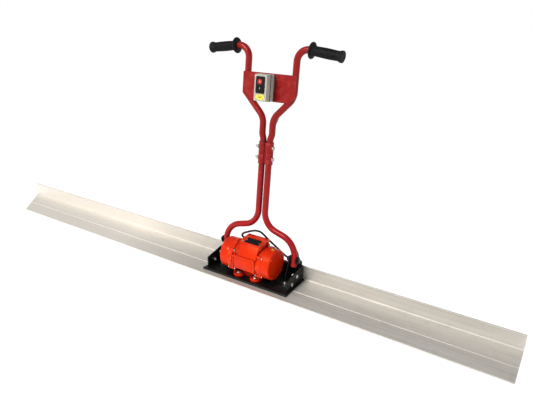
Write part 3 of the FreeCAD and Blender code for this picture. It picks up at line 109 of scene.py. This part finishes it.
def make_light():
    """White surroundings that dim overhead, a large lamp high at the front left, a weak one on the right."""
    world = bpy.data.worlds.new("studio")
    world.use_nodes = True
    sky = world.node_tree.nodes["Background"]
    sky.inputs["Color"].default_value = (1, 1, 1, 1)
    ray = world.node_tree.nodes.new("ShaderNodeTexCoord")
    split = world.node_tree.nodes.new("ShaderNodeSeparateXYZ")
    fade = world.node_tree.nodes.new("ShaderNodeMapRange")
    for socket, value in (("From Min", 0.12), ("From Max", 0.3), ("To Min", 1.05), ("To Max", 0.44)):
        fade.inputs[socket].default_value = value
    world.node_tree.links.new(ray.outputs["Generated"], split.inputs["Vector"])
    world.node_tree.links.new(split.outputs["Z"], fade.inputs["Value"])
    world.node_tree.links.new(fade.outputs["Result"], sky.inputs["Strength"])
    bpy.context.scene.world = world
    bpy.context.scene.view_settings.view_transform = "Standard"
    area_light("key", (-0.9, -2.6, 2.9), (-0.1, 0, 0.2), 1.3, 120, (1, 0.985, 0.96))
    area_light("fill", (2.6, -1.2, 1.6), (0, 0, 0.3), 1.5, 6)


# ---------------------------------------------------------------- materials
class Look:
    """A material being wired. Sockets take a number, a colour or another node's output."""

    def __init__(self, name, **shader):
        self.material = bpy.data.materials.new(name)
        self.material.use_nodes = True
        self.tree = self.material.node_tree
        self.shader = self.tree.nodes["Principled BSDF"]
        self.put(self.shader, shader)

    def fill(self, socket, value):
        """Links a socket to another node's output, or sets its number or colour."""
        if isinstance(value, bpy.types.NodeSocket):
            self.tree.links.new(value, socket)
        elif socket.type == "RGBA":
            socket.default_value = (*value, 1)
        else:
            socket.default_value = value

    def put(self, node, sockets):
        """Fills sockets by name. A key such as i2 is a socket's number, where several share a name."""
        for key, value in sockets.items():
            numbered = key[0] == "i" and key[1:].isdigit()
            self.fill(node.inputs[int(key[1:]) if numbered else key.replace("_", " ")], value)

    def add(self, kind, options=None, **sockets):
        """A new shader node with its options and sockets set."""
        node = self.tree.nodes.new("ShaderNode" + kind)
        for key, value in (options or {}).items():
            setattr(node, key, value)
        self.put(node, sockets)
        return node

    def place(self, scale=(1, 1, 1)):
        """Object coordinates, stretched along the axes."""
        coords = self.add("TexCoord").outputs["Object"]
        return self.add("Mapping", Vector=coords, Scale=scale).outputs["Vector"]

    def noise(self, scale, detail=3, rough=0.5, stretch=(1, 1, 1)):
        """Noise in object coordinates, from 0 to 1."""
        return self.add("TexNoise", Vector=self.place(stretch), Scale=scale, Detail=detail,
                        Roughness=rough).outputs["Fac"]

    def ramp(self, fac, low, high, start, stop):
        """Maps fac from low..high to start..stop, clamped."""
        return self.add("MapRange", i0=fac, i1=low, i2=high, i3=start, i4=stop).outputs["Result"]

    def blend(self, fac, first, second):
        """The first colour where fac is 0, the second where it is 1."""
        return self.add("Mix", {"data_type": "RGBA"}, i0=fac, i6=first, i7=second).outputs[2]

    def bump(self, height, distance, strength=1.0, under=None):
        """Relief from a height, laid over the relief of another bump where one is given."""
        node = self.add("Bump", Height=height, Distance=distance, Strength=strength)
        if under is not None:
            self.fill(node.inputs["Normal"], under)
        return node.outputs["Normal"]

    def edges(self):
        """1 on convex edges, 0 elsewhere."""
        return self.ramp(self.add("NewGeometry").outputs["Pointiness"], 0.56, 0.66, 0, 1)

    def finish(self, **shader):
        """The material, with its last sockets set."""
        self.put(self.shader, shader)
        return self.material


def mill_aluminium():
    """Extruded alloy: fine die lines along it, tone drift, dull handling marks, and painted light that makes it
    brighter to the left.
    """
    look = Look("mill_aluminium", Metallic=0.62)
    lines = look.noise(1, 4, 0.6, (0.7, 420, 420))
    fine = look.noise(1, 2, 0.5, (6, 1900, 1900))
    drift = look.noise(1, 3, 0.55, (1.6, 14, 14))
    along = look.add("SeparateXYZ", Vector=look.place()).outputs["X"]
    marks = look.noise(30, 5, 0.65)
    tone = look.blend(look.ramp(lines, 0.3, 0.7, 0, 1), (0.50, 0.475, 0.435), (0.68, 0.65, 0.60))
    tone = look.blend(look.ramp(drift, 0.42, 0.62, 0, 0.45), tone, (0.76, 0.73, 0.68))
    tone = look.blend(look.ramp(marks, 0.56, 0.72, 0, 0.3), tone, (0.42, 0.40, 0.37))
    # Painted light: the alloy blends to a paler colour towards its left end.
    tone = look.blend(look.ramp(along, -0.2, -0.7, 0, 0.75), tone, (0.93, 0.885, 0.82))
    rough = look.ramp(lines, 0.3, 0.7, 0.5, 0.62)
    relief = look.bump(fine, 0.00004, 0.5, look.bump(lines, 0.00008, 0.6))
    return look.finish(Base_Color=tone, Roughness=rough, Normal=relief)


def painted(name, color, shade, wear, rough=(0.3, 0.45), shine=0.25, tint=(1, 1, 1), cast=None, worn=0.5,
            painted_shade_aloft=None, painted_hollow_shade=None):
    """Paint on steel or a casting: orange peel, tone drift, lighter worn edges, and where asked, painted shade
    high up and in hollows.

    cast is the scale and depth of a casting's lumps. The two last arguments are colours of painted shade: one laid
    on high up, the other in hollows found by ambient occlusion.
    """
    look = Look(name, Specular_IOR_Level=shine, Specular_Tint=tint)
    drift = look.noise(9, 4, 0.55)
    patch = look.noise(38, 5, 0.6)
    tone = look.blend(look.ramp(drift, 0.35, 0.65, 0, 1), shade, color)
    # Painted shade: the paint darkens towards its top, standing in for weaker light up there.
    if painted_shade_aloft is not None:
        height = look.add("SeparateXYZ", Vector=look.place()).outputs["Z"]
        tone = look.blend(look.ramp(height, 0.16, 0.5, 0, 0.85), tone, painted_shade_aloft)
    # Painted shade: darker in hollows and creases, found by ambient occlusion.
    if painted_hollow_shade is not None:
        open_air = look.add("AmbientOcclusion", {"samples": 6}, Distance=0.022).outputs["AO"]
        tone = look.blend(look.ramp(open_air, 0.35, 0.85, 1, 0), tone, painted_hollow_shade)
    patches = look.ramp(patch, 0.5, 0.62, 0, worn)
    chips = look.add("Math", {"operation": "MULTIPLY"}, i0=look.edges(), i1=patches)
    tone = look.blend(chips.outputs[0], tone, wear)
    peel = look.bump(look.noise(900, 2), 0.00004, 0.6)
    if cast is not None:
        peel = look.bump(look.noise(cast[0], 4, 0.6), cast[1], 0.8, peel)
    return look.finish(Base_Color=tone, Roughness=look.ramp(patch, 0.35, 0.65, *rough), Normal=peel)


def bare_metal(name, color, dark, rough=(0.25, 0.42)):
    """Plated or turned metal with fine mottling and darker handling marks."""
    look = Look(name, Metallic=1.0)
    scale = 160
    mottle = look.noise(scale, 4, 0.6)
    tone = look.blend(look.ramp(mottle, 0.38, 0.66, 0, 1), color, dark)
    relief = look.bump(look.noise(scale * 6, 2), 0.00003, 0.6)
    return look.finish(Base_Color=tone, Roughness=look.ramp(mottle, 0.35, 0.65, *rough), Normal=relief)


def moulded(name, color, shade, rough=(0.42, 0.6), grain=1500, shine=0.3):
    """Moulded plastic or rubber: spark-eroded grain and faint tone drift."""
    look = Look(name, Specular_IOR_Level=shine)
    drift = look.noise(26, 4, 0.6)
    tone = look.blend(look.ramp(drift, 0.35, 0.65, 0, 1), color, shade)
    relief = look.bump(look.noise(grain, 3, 0.6), 0.00005, 0.7)
    return look.finish(Base_Color=tone, Roughness=look.ramp(drift, 0.3, 0.7, *rough), Normal=relief)


def wound_copper():
    """Varnished winding: fine wire ridges round the shaft."""
    look = Look("copper_winding", Metallic=0.7)
    wires = look.add("TexWave", {"wave_type": "RINGS", "rings_direction": "X"}, Vector=look.place(),
                     Scale=600, Distortion=1.5).outputs["Fac"]
    tone = look.blend(wires, (0.30, 0.12, 0.05), (0.62, 0.30, 0.14))
    return look.finish(Base_Color=tone, Roughness=0.35, Normal=look.bump(wires, 0.0004))


def laminated():
    """Stacked core sheets: fine lines across the shaft."""
    look = Look("core_steel", Metallic=0.9)
    sheets = look.add("TexWave", {"bands_direction": "X"}, Vector=look.place(), Scale=320).outputs["Fac"]
    tone = look.blend(sheets, (0.16, 0.16, 0.17), (0.36, 0.36, 0.37))
    return look.finish(Base_Color=tone, Roughness=0.5, Normal=look.bump(sheets, 0.0002))


def make_looks():
    """One material for each of the record's slots."""
    black = (0.005, 0.005, 0.0055)
    black_shade = (0.009, 0.009, 0.0095)
    return {
        "mill_aluminium": mill_aluminium(),
        "black_steel": painted("black_steel", black, (0.003, 0.003, 0.0035), (0.07, 0.07, 0.07),
                               rough=(0.32, 0.48), shine=0.22, worn=0.3),
        "zinc_steel": bare_metal("zinc_steel", (0.92, 0.92, 0.90), (0.66, 0.66, 0.64), rough=(0.18, 0.3)),
        "black_hardware": painted("black_hardware", black, black_shade, (0.12, 0.12, 0.12),
                                  rough=(0.35, 0.5)),
        "zinc_hardware": bare_metal("zinc_hardware", (0.66, 0.62, 0.58), (0.36, 0.33, 0.30)),
        # Motor paint: its last colour is painted shade in hollows.
        "motor_paint": painted("motor_paint", (0.70, 0.026, 0.002), (0.56, 0.015, 0.002), (0.95, 0.24, 0.10),
                               rough=(0.28, 0.4), shine=0.34, tint=(1, 0.42, 0.16), cast=(260, 0.0003),
                               worn=0.4, painted_hollow_shade=(0.20, 0.005, 0.003)),
        # Handle paint: its last two colours are painted shade, high up and in hollows.
        "handle_paint": painted("handle_paint", (0.36, 0.007, 0.009), (0.29, 0.005, 0.007),
                                (0.62, 0.12, 0.10), rough=(0.26, 0.36), shine=0.5,
                                tint=(1, 0.42, 0.40), worn=0.2,
                                painted_shade_aloft=(0.20, 0.0035, 0.003), painted_hollow_shade=(0.14, 0.004, 0.005)),
        "black_rubber": moulded("black_rubber", black, black_shade, (0.5, 0.68), shine=0.12),
        "lead_jacket": moulded("lead_jacket", black, black_shade, (0.4, 0.55), 700),
        "black_plastic": moulded("black_plastic", black, black_shade, shine=0.14),
        "plate_black": moulded("plate_black", (0.003, 0.006, 0.004), (0.006, 0.006, 0.010), (0.3, 0.4), 400,
                               shine=0.12),
        "red_plastic": moulded("red_plastic", (0.45, 0.010, 0.014), (0.36, 0.008, 0.010), (0.3, 0.42)),
        "grey_plastic": moulded("grey_plastic", (0.40, 0.385, 0.33), (0.34, 0.33, 0.285), (0.45, 0.6)),
        "label_yellow": moulded("label_yellow", (0.80, 0.62, 0.03), (0.70, 0.60, 0.08), (0.25, 0.4), 500),
        "brass": bare_metal("brass", (0.86, 0.56, 0.16), (0.58, 0.34, 0.09)),
        "bearing_steel": bare_metal("bearing_steel", (0.62, 0.62, 0.63), (0.40, 0.40, 0.41), (0.15, 0.28)),
        "core_steel": laminated(),
        "copper_winding": wound_copper(),
        "cast_weight": painted("cast_weight", (0.12, 0.12, 0.12), (0.07, 0.07, 0.07), (0.3, 0.3, 0.3),
                               cast=(300, 0.0004)),
    }


LOOKS = make_looks()


NODE_CREASE = math.radians(32)
PIECE_CREASE = math.radians(34)


def dress_nodes():
    """Every CAD node gets its slot's material and shading that keeps its sharp edges.

    The screws of the motor's end covers are painted over with the covers.
    """
    slots = {entry["node"]: entry["material_slot"] for entry in frame["record"]["subparts"]}
    slots["cover_screws"] = "motor_paint"
    for name, node in NODES.items():
        node.data.materials.clear()
        node.data.materials.append(LOOKS[slots[name]])
        for face in node.data.polygons:
            face.use_smooth = True
            face.material_index = 0
        node.data.set_sharp_from_angle(angle=NODE_CREASE)


# ---------------------------------------------------------------- making pieces
# Pieces are drawn in millimetres: the motor's from its shaft's axis, the handle's from its pivot along its
# lean, and the others in the object's own frame.
MM = 0.001
LEAN = math.radians(7.3)
JOINT_PLACES = {joint["name"]: joint.get("pos_m") for joint in frame["joints"]}
MOTOR = Matrix.Translation(JOINT_PLACES["rotor_spin"])
HANDLE = Matrix.Translation(JOINT_PLACES["handle_tilt"]) @ Matrix.Rotation(-LEAN, 4, "X")
AS_DRAWN = Matrix.Identity(4)


def piece(name, form, slot, body, at=AS_DRAWN, replaces=()):
    """Turns a bmesh drawn in millimetres into a piece that rides on a body."""
    form.transform(at @ Matrix.Diagonal((MM, MM, MM, 1)))
    bmesh.ops.recalc_face_normals(form, faces=form.faces)
    mesh = bpy.data.meshes.new(name)
    form.to_mesh(mesh)
    form.free()
    mesh.materials.append(LOOKS[slot])
    for face in mesh.polygons:
        face.use_smooth = True
    mesh.set_sharp_from_angle(angle=PIECE_CREASE)
    thing = bpy.data.objects.new(name, mesh)
    bpy.context.scene.collection.objects.link(thing)
    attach(thing, body)
    if replaces:
        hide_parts(*replaces)


def mirrored(place, sign):
    """A place on the right side, or its mirror image on the left."""
    return Vector((place[0] * sign, place[1], place[2]))


def round_edges(form, width):
    """Rounds every edge of a bmesh."""
    bmesh.ops.bevel(form, geom=form.edges[:], offset=width, segments=2, profile=0.5, affect="EDGES")


def merge(form, part):
    """Adds one bmesh to another."""
    mesh = bpy.data.meshes.new("part")
    part.to_mesh(mesh)
    part.free()
    form.from_mesh(mesh)
    bpy.data.meshes.remove(mesh)


def add_box(form, low, high, soft=0.0):
    """A box between two corners, with its edges rounded."""
    part = bmesh.new()
    bmesh.ops.create_cube(part, size=1)
    size = Vector(high) - Vector(low)
    part.transform(Matrix.Translation((Vector(low) + Vector(high)) / 2) @ Matrix.Diagonal((*size, 1)))
    if soft:
        round_edges(part, soft)
    merge(form, part)


def add_lathe(form, profile, at, steps):
    """A body of revolution: profile points (radius, height) turned about the local Z axis."""
    part = bmesh.new()
    turns = [2 * math.pi * k / steps for k in range(steps)]
    rings = []
    for radius, height in profile:
        places = [(radius * math.cos(a), radius * math.sin(a), height) for a in (turns if radius else [0])]
        rings.append([part.verts.new(place) for place in places])
    for lower, upper in zip(rings, rings[1:]):
        for k in range(steps):
            after = (k + 1) % steps
            ring = [lower[k % len(lower)], lower[after % len(lower)],
                    upper[after % len(upper)], upper[k % len(upper)]]
            corners = list(dict.fromkeys(ring))
            if len(corners) > 2:
                part.faces.new(corners)
    part.transform(at)
    merge(form, part)


def add_prism(form, section, low, high, soft=0.0):
    """A YZ outline run along X from low to high."""
    part = bmesh.new()
    first = [part.verts.new((low, y, z)) for y, z in section]
    last = [part.verts.new((high, y, z)) for y, z in section]
    count = len(section)
    part.faces.new(first)
    part.faces.new(list(reversed(last)))
    for k in range(count):
        part.faces.new((first[k], first[(k + 1) % count], last[(k + 1) % count], last[k]))
    if soft:
        round_edges(part, soft)
    merge(form, part)


def facing(place, axis):
    """A frame at a place with its Z axis along the given axis."""
    return Matrix.Translation(place) @ Vector(axis).to_track_quat("Z", "X").to_matrix().to_4x4()


def add_bolt_head(form, place, axis, across, height):
    """A hexagon head with a chamfered top."""
    corner = across / math.sqrt(3)
    add_lathe(form, [(0, 0), (corner, 0), (corner, height * 0.82), (corner * 0.86, height), (0, height)],
              facing(place, axis), 6)


def add_weld(form, start, end, radius):
    """A weld bead: scallops along a line."""
    start, end = Vector(start), Vector(end)
    run = (end - start).length
    pitch = 2.6
    depth = 0.14
    steps = int(run / pitch * 4)
    profile = [(0, -radius)]
    for k in range(steps + 1):
        wave = 1 - depth + depth * math.cos(2 * math.pi * k * run / steps / pitch)
        profile.append((radius * wave, run * k / steps))
    profile.append((0, run + radius))
    add_lathe(form, profile, facing(start, end - start), 12)


def add_tube(form, points, radius):
    """A round cord through points, smoothed by a Catmull-Rom curve."""
    cuts = 8
    steps = 14
    points = [Vector(p) for p in points]
    fine = []
    for k in range(len(points) - 1):
        p0, p1, p2, p3 = (points[max(0, min(len(points) - 1, k + d))] for d in (-1, 0, 1, 2))
        for cut in range(cuts):
            t = cut / cuts
            fine.append(0.5 * ((2 * p1) + (p2 - p0) * t + (2 * p0 - 5 * p1 + 4 * p2 - p3) * t * t
                               + (3 * p1 - p0 - 3 * p2 + p3) * t * t * t))
    fine.append(points[-1])
    turns = [2 * math.pi * s / steps for s in range(steps)]
    normal = Vector((0, 1, 0))
    rings = []
    for k, place in enumerate(fine):
        way = (fine[min(k + 1, len(fine) - 1)] - fine[max(k - 1, 0)]).normalized()
        normal = (normal - way * normal.dot(way)).normalized()
        side = way.cross(normal)
        rings.append([form.verts.new(place + (normal * math.cos(a) + side * math.sin(a)) * radius)
                      for a in turns])
    for ring, after in zip(rings, rings[1:]):
        for s in range(steps):
            form.faces.new((ring[s], ring[(s + 1) % steps], after[(s + 1) % steps], after[s]))
    form.faces.new(rings[0])
    form.faces.new(list(reversed(rings[-1])))


# ---------------------------------------------------------------- motor and tray
def motor_lugs():
    """Bolt lugs across the motor's two joint faces, with a bolt head at each end."""
    lugs = bmesh.new()
    heads = bmesh.new()
    ring = 61
    near, far = 50, 76.5
    radius = 7.4
    head_across, head_height = 9, 4
    profile = [(0, near), (radius - 1.2, near + 1), (radius, near + 3), (radius, far - 1.5),
               (radius - 1, far), (0, far)]
    for _, sign in SIDES:
        for turn in (40, 140, 220, 320):
            y = -ring * math.cos(math.radians(turn))
            z = ring * math.sin(math.radians(turn))
            add_lathe(lugs, profile, facing((0, y, z), (sign, 0, 0)), 24)
            add_bolt_head(heads, (far * sign, y, z), (sign, 0, 0), head_across, head_height)
            add_bolt_head(heads, ((near + 1) * sign, y, z), (-sign, 0, 0), head_across, head_height)
    piece("motor_lugs", lugs, "motor_paint", "base", MOTOR)
    piece("lug_bolts", heads, "zinc_steel", "base", MOTOR)


def motor_front():
    """The housing's front: the sloping apron under the lid, a ledge, and a flat panel between two ribs."""
    form = bmesh.new()
    middle = 3
    add_prism(form, [(-36.5, 74.5), (-61, 31), (-56, 20), (-30, 50), (-30, 74)], -27, 58, 1.6)
    ledge = (49, (-66, -54), (22, 30), 1.8)
    panel = (47, (-64.5, -50), (-26, 24), 2.2)
    raised_field = (39, (-65.3, -60), (-20, 18), 0.7)
    for half, (front, back), (low, high), soft in (ledge, panel, raised_field):
        add_box(form, (middle - half, front, low), (middle + half, back, high), soft)
    for x in (middle - 48, middle + 48):
        add_box(form, (x - 3, -66.5, -28), (x + 3, -46, 29), 1.6)
    piece("motor_front", form, "motor_paint", "base", MOTOR)


def foot_rims():
    """Raised rims round the bolts of the motor's front feet."""
    form = bmesh.new()
    bore, rim, height = 12.6, 22, 13
    profile = [(bore, height), (rim - 1.5, height), (rim - 0.2, height - 2.5), (rim, 2), (rim - 1, 0),
               (bore, 0)]
    for x in (-39, 39):
        add_lathe(form, profile, Matrix.Translation((x, -33, -75)), 40)
    piece("foot_rims", form, "motor_paint", "base", MOTOR)


def plate_rivets():
    """Two rivets that hold the plate on the sloping lid."""
    low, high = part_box("nameplate")
    inset = 0.004
    lift = 0.5
    slope = (0, -0.178, 0.984)
    form = bmesh.new()
    for x in (low.x + inset, high.x - inset):
        place = (x / MM, (low.y + high.y) / 2 / MM, (low.z + high.z) / 2 / MM + lift)
        add_lathe(form, [(0, 0), (1.6, 0), (1.3, 0.6), (0, 0.9)], facing(place, slope), 20)
    piece("plate_rivets", form, "zinc_steel", "base")


LEAD_RADIUS = 4
ARCH = ((-44, -65, 151), (-54, -65, 152.5), (-59, -64.7, 161), (-50, -64.3, 171), (-34, -63.5, 179),
        (-16, -61.5, 187), (2, -58, 191.5), (19, -54, 189.5), (31, -50, 181), (41, -46, 170), (52, -41, 157),
        (64, -34, 143), (80, -27, 126), (98, -20.5, 108), (116, -17.5, 94.5), (136, -16.1, 88.3),
        (153, -16.06, 87.9))


def motor_lead():
    """The lead from the gland in a low arch over the lid, then down behind the motor to the right leg."""
    form = bmesh.new()
    add_tube(form, ARCH, LEAD_RADIUS)
    piece("arched_lead", form, "lead_jacket", "base", replaces=("motor_lead",))


def tray_welds():
    """Beads where the end walls and the brackets' low cheeks meet the floor, and behind the tall cheeks."""
    seams = (((183.5, -110, 10), (183.5, -14, 10), 2.4),
             ((188.6, -128, 9.6), (188.6, -10, 9.6), 1.8),
             ((142, -10.5, 20), (142, -10.5, 66), 2))
    form = bmesh.new()
    for _, sign in SIDES:
        for start, end, radius in seams:
            add_weld(form, mirrored(start, sign), mirrored(end, sign), radius)
    piece("tray_welds", form, "black_steel", "base")


# ---------------------------------------------------------------- handle
UPPER_TUBE_X = 102
COUPLER_TUBE_X = 15.5


def grip_profile():
    """Radius and height along a grip: a thumb guard, a ribbed barrel that swells a little, a flared end."""
    profile = [(12.6, 0), (17.5, 0), (26, 3.2), (28.6, 4.2), (29, 5.5), (29, 7.5), (28.2, 8.8), (24, 10.6),
               (20.4, 12.4), (19.2, 15)]
    first_rib, ribs, pitch, groove = 19, 19, 4.6, 0.9
    for k in range(ribs):
        low = first_rib + pitch * k
        along = 2 * k / (ribs - 1) - 1
        radius = 17.7 + 0.5 * math.cos(math.pi * along * 0.9)
        profile += [(radius - groove, low), (radius - groove, low + 1.1), (radius, low + 1.7),
                    (radius, low + pitch - 0.6)]
    return profile + [(17.6, 109), (17.6, 111), (20.2, 116), (20.5, 118), (20.5, 123), (19.4, 125),
                      (9, 125.3), (8, 124.6), (0, 124.6)]


def ribbed_grips():
    """The two grips, which droop outwards with the tubes' ends."""
    drop = math.radians(6.8)
    grip_end, grip_length, bend_height = 277, 125, 783
    inner_x = grip_end - grip_length
    height = bend_height - (inner_x - UPPER_TUBE_X) * math.tan(drop)
    for side, sign in SIDES:
        form = bmesh.new()
        outward = (sign * math.cos(drop), 0, -math.sin(drop))
        add_lathe(form, grip_profile(), facing((sign * inner_x, 0, height), outward), 56)
        piece("ribbed_grip_" + side, form, "black_rubber", "handle", HANDLE, ("grip_" + side,))


def panel_welds():
    """Beads that join the switch panel to the upper tubes."""
    form = bmesh.new()
    aside, y, top = 7.5, -11.4, 686
    for _, sign in SIDES:
        for x, low in ((UPPER_TUBE_X - aside, 618), (UPPER_TUBE_X + aside, 622)):
            add_weld(form, (x * sign, y, low), (x * sign, y, top), 1.9)
    piece("panel_welds", form, "handle_paint", "handle", HANDLE)


def coupler_washers():
    """Washers under the coupler's bolt heads and nuts."""
    form = bmesh.new()
    bore, radius, thick = 4.4, 8.6, 1.2
    side_x = 30.9
    for height in (373, 415):
        for _, sign in SIDES:
            add_lathe(form, [(bore, 0), (radius, 0), (radius, thick), (bore, thick)],
                      facing((side_x * sign, 0, height), (sign, 0, 0)), 32)
    piece("coupler_washers", form, "zinc_hardware", "handle", HANDLE)


def coupler_collars():
    """Rolled collars at the ends of the coupler's two sleeves."""
    form = bmesh.new()
    bore, radius, high = 12.9, 16.4, 3
    profile = [(bore, 0), (radius - 0.5, 0.2), (radius, high / 2), (radius - 0.5, high - 0.1), (bore, high)]
    for _, sign in SIDES:
        for low in (351.6, 433.4):
            add_lathe(form, profile, Matrix.Translation((COUPLER_TUBE_X * sign, 0, low)), 40)
    piece("coupler_collars", form, "handle_paint", "handle", HANDLE)


# ---------------------------------------------------------------- switch box
BOX_HALF_WIDTH = 26.3
BOX_LOW = 589.7
BOX_HIGH = 684.3
BOX_FRONT = -68
STOP_HEIGHT = 659
START_HEIGHT = 636


def switch_bands(name, slot, spans, proud, soft):
    """Bands round the switch box, each from one depth to another."""
    form = bmesh.new()
    half = BOX_HALF_WIDTH + proud
    for near, far in spans:
        add_box(form, (-half, near, BOX_LOW - proud), (half, far, BOX_HIGH + proud), soft)
    piece(name, form, slot, "handle", HANDLE)


def button_rings():
    """Collars round the two buttons."""
    form = bmesh.new()
    bore, radius, high = 9.9, 12, 1.8
    for height in (STOP_HEIGHT, START_HEIGHT):
        add_lathe(form, [(bore, 0), (radius, 0), (radius, 1), (radius - 0.8, high), (bore, high)],
                  facing((0, BOX_FRONT - 3.3, height), (0, -1, 0)), 40)
    piece("button_rings", form, "black_plastic", "handle", HANDLE)


def button_mark(button, height, half_width, half_height, proud):
    """A plain pale mark on a button's face."""
    form = bmesh.new()
    thick = 0.6
    front = BOX_FRONT - proud
    add_box(form, (-half_width, front, height - half_height),
            (half_width, front + thick, height + half_height), 0.2)
    piece(button + "_mark", form, "grey_plastic", button + "_button", HANDLE)


def label_stripes():
    """Plain stripes on the yellow label: a short row of bars under a line."""
    form = bmesh.new()
    front, back = BOX_FRONT - 1.25, BOX_FRONT - 0.7
    for x in (-7, -3.5, 0, 3.5, 7):
        add_box(form, (x - 0.7, front, 601.5), (x + 0.7, back, 606))
    add_box(form, (-8, front, 608.2), (8, back, 609.4))
    piece("label_stripes", form, "black_plastic", "handle", HANDLE)


def switch_details():
    """Everything that is added to the switch box."""
    switch_bands("switch_seals", "black_plastic", ((-45, -39.4), (-21, -15.2)), 0, 1.2)
    switch_bands("switch_rims", "grey_plastic", ((-50, -45.4), (-39, -34.6), (-25.6, -21.4)), 0.6, 1.3)
    button_rings()
    button_mark("stop", STOP_HEIGHT, 2.6, 2.6, 5.9)
    button_mark("start", START_HEIGHT, 0.9, 3.6, 5.0)
    label_stripes()


# ---------------------------------------------------------------- the scene
make_camera()
make_floor()
make_light()
dress_nodes()
motor_lugs()
motor_front()
foot_rims()
motor_lead()
tray_welds()
ribbed_grips()
panel_welds()
coupler_washers()
coupler_collars()
switch_details()
plate_rivets()
